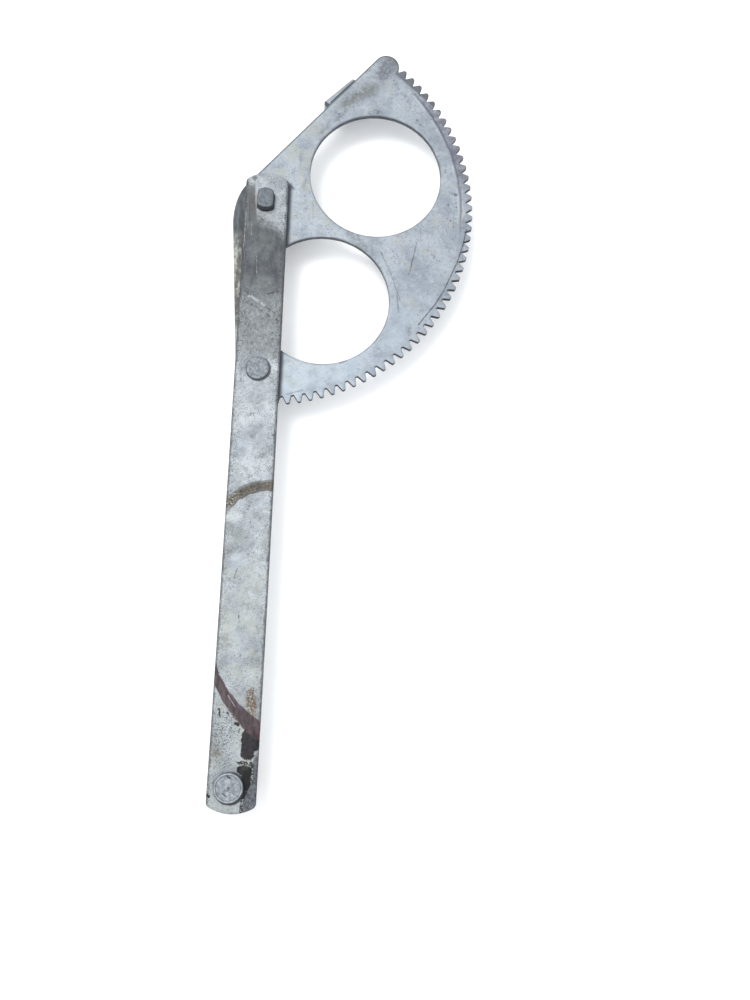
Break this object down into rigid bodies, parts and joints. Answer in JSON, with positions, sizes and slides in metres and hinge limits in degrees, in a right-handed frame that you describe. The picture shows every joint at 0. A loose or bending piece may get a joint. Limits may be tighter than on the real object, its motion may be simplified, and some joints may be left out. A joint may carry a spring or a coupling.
{
  "type": "window operator sector arm",
  "caption": "Toothed sector plate with round lightening holes, riveted under a long flat lift arm with a pivot bush at one end and a guide roller at the other.",
  "frame": {"origin": "on the pivot axis, at the rear end face of the pivot shaft", "axes": "+Z along the pivot axis, from the rear to the front face; the arm runs along -Y from the pivot, and the toothed rim bulges towards +X"},
  "size_m": [0.1081, 0.343, 0.0225],
  "materials": {
    "sector_steel": "worn zinc plate",
    "arm_steel": "worn and stained zinc plate",
    "rivet_steel": "dull grey",
    "shaft_steel": "dark worn steel",
    "stud_steel": "turned, dull zinc",
    "washer_steel": "dull zinc",
    "bush_bronze": "dull sintered bronze",
    "ring_steel": "black phosphate",
    "roller_nylon": "aged white nylon"
  },
  "bodies": {
    "bearing": {"pivot_bush": "bush_bronze"},
    "gear_arm": {"sector_gear": "sector_steel", "lift_arm": "arm_steel", "segment_rivet": "rivet_steel", "pivot_shaft": "shaft_steel", "thrust_washer": "washer_steel", "rear_washer": "washer_steel", "pivot_retaining_ring": "ring_steel", "end_stud": "stud_steel", "roller_washer": "washer_steel", "roller_retaining_ring": "ring_steel"},
    "roller": {"stud_roller": "roller_nylon"}
  },
  "joints": [
    {"name": "arm_swing", "type": "hinge", "parent": "bearing", "child": "gear_arm", "pos_m": [0, 0, 0], "axis": [0, 0, 1], "range_deg": [-65, 65]},
    {"name": "roller_spin", "type": "hinge", "parent": "gear_arm", "child": "roller", "pos_m": [0, -0.254, 0], "axis": [0, 0, 1], "continuous": true}
  ]
}
